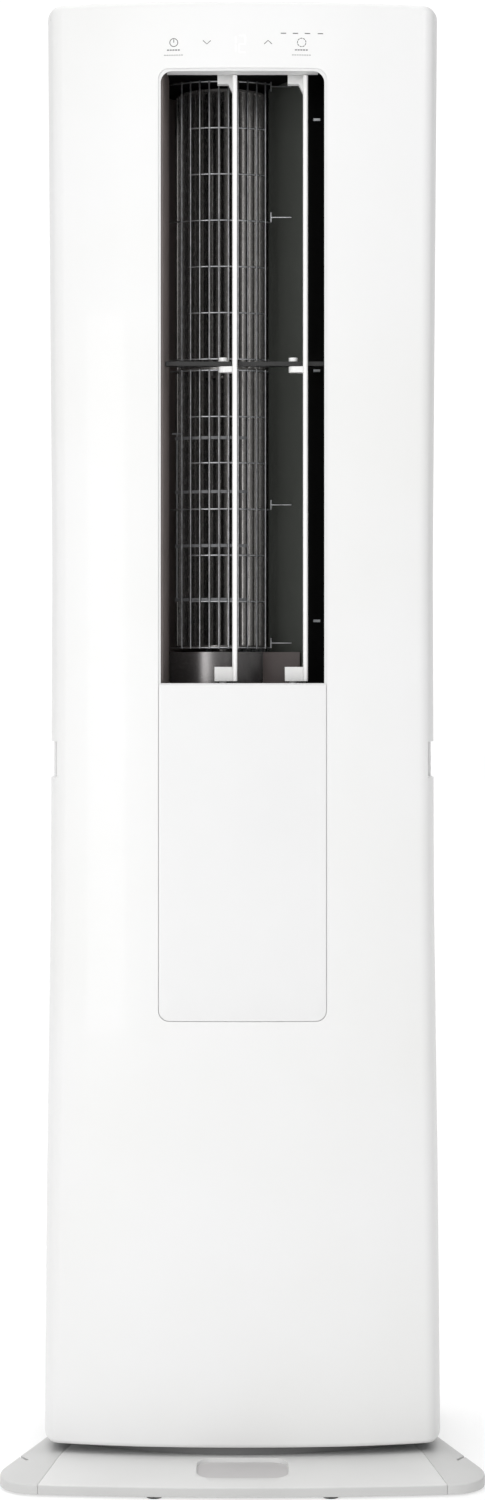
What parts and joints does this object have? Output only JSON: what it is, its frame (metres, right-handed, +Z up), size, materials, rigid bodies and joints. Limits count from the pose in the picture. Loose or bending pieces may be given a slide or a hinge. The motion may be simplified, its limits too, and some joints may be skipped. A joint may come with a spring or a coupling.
{
  "type": "tower air conditioner",
  "caption": "Floor-standing tower air conditioner with a curved cabinet on a wide foot, an upright outlet with swinging louvers, wire guards, a cross-flow fan and a sliding door.",
  "frame": {"origin": "on the floor, under the middle of the foot", "axes": "+Z up, the front with the outlet faces -Y, +X to the right as seen from the front"},
  "size_m": [0.5688, 0.442, 1.75],
  "materials": {
    "white_panel": "satin",
    "grip_grey": "satin",
    "foot_grey": "satin",
    "plinth_grey": "matte",
    "duct_black": "matte",
    "curb_brown": "matte",
    "fan_black": "satin",
    "louver_white": "satin",
    "linkage_black": "satin",
    "guard_wire": "bright",
    "steel_sheet": "brushed",
    "motor_can": "satin",
    "fin_aluminium": "satin",
    "copper": "satin",
    "tray_white": "matte",
    "filter_blue": "matte",
    "circuit_green": "satin",
    "foot_rubber": "matte"
  },
  "bodies": {
    "cabinet": {"base_front": "foot_grey", "base_left_wing": "foot_grey", "base_rear": "foot_grey", "base_right_wing": "foot_grey", "bearing_seat": "foot_rubber", "board_carrier": "tray_white", "box_lid": "steel_sheet", "casing_screws": "steel_sheet", "channel_cover": "duct_black", "coil_bends": "copper", "coil_end_plates": "steel_sheet", "control_board": "circuit_green", "crossbar": "linkage_black", "door_clips": "steel_sheet", "door_motor": "motor_can", "door_motor_bracket": "steel_sheet", "door_rails": "steel_sheet", "drain_pan": "tray_white", "drain_pipe": "tray_white", "duct_ceiling": "duct_black", "duct_floor": "duct_black", "electrical_box": "steel_sheet", "evaporator_fins": "fin_aluminium", "fan_bearing": "steel_sheet", "fan_motor": "motor_can", "filter_frame": "tray_white", "floor_plate": "steel_sheet", "front_panel": "white_panel", "gas_pipe": "copper", "guard_hooks": "guard_wire", "guard_skirt": "duct_black", "hoop_guard": "guard_wire", "infill_panel": "white_panel", "intake_grille": "tray_white", "left_duct_wall": "duct_black", "left_grip": "grip_grey", "liquid_pipe": "copper", "louver_motor": "motor_can", "lower_guard": "guard_wire", "motor_bracket": "steel_sheet", "outlet_frame": "white_panel", "pipe_port": "tray_white", "plinth": "plinth_grey", "rear_casing": "white_panel", "right_curb": "curb_brown", "right_duct_wall": "duct_black", "right_grip": "grip_grey", "rubber_feet": "foot_rubber", "top_cover": "white_panel", "upper_guard": "guard_wire"},
    "fan": {"cross_flow_fan": "fan_black", "fan_shaft": "steel_sheet"},
    "left_louver": {"left_louver": "louver_white"},
    "right_louver": {"right_louver": "louver_white"},
    "louver_link": {"louver_link": "linkage_black"},
    "door": {"sliding_door": "white_panel", "door_rack": "linkage_black"},
    "door_pinion": {"door_pinion": "linkage_black"},
    "upper_filter": {"upper_filter": "filter_blue"},
    "lower_filter": {"lower_filter": "filter_blue"}
  },
  "joints": [
    {"name": "fan_spin", "type": "hinge", "parent": "cabinet", "child": "fan", "pos_m": [-0.025, 0.074, 0.986], "axis": [0, 0, 1], "continuous": true},
    {"name": "left_louver_swing", "type": "hinge", "parent": "cabinet", "child": "left_louver", "pos_m": [-0.0235, -0.079, 0.94], "axis": [0, 0, 1], "range_deg": [-30, 30]},
    {"name": "right_louver_swing", "type": "hinge", "parent": "cabinet", "child": "right_louver", "pos_m": [0.0608, -0.079, 0.94], "axis": [0, 0, 1], "range_deg": [-30, 30]},
    {"name": "louver_link_turn", "type": "hinge", "parent": "left_louver", "child": "louver_link", "pos_m": [-0.0235, -0.065, 1.6885], "axis": [0, 0, 1], "range_deg": [-30, 30]},
    {"name": "door_slide", "type": "slide", "parent": "cabinet", "child": "door", "axis": [0, 0, 1], "range_m": [0, 0.73]},
    {"name": "door_pinion_spin", "type": "hinge", "parent": "cabinet", "child": "door_pinion", "pos_m": [0.09, -0.0947, 0.902], "axis": [1, 0, 0], "range_deg": [-2395, 5]},
    {"name": "upper_filter_slide", "type": "slide", "parent": "cabinet", "child": "upper_filter", "axis": [1, 0, 0], "range_m": [0, 0.36]},
    {"name": "lower_filter_slide", "type": "slide", "parent": "cabinet", "child": "lower_filter", "axis": [1, 0, 0], "range_m": [0, 0.36]}
  ],
  "couplings": [
    {"joint": "right_louver_swing", "follows": "left_louver_swing", "ratio": 1},
    {"joint": "louver_link_turn", "follows": "left_louver_swing", "ratio": -1},
    {"joint": "door_pinion_spin", "follows": "door_slide", "rad_per_m": -57.143}
  ]
}
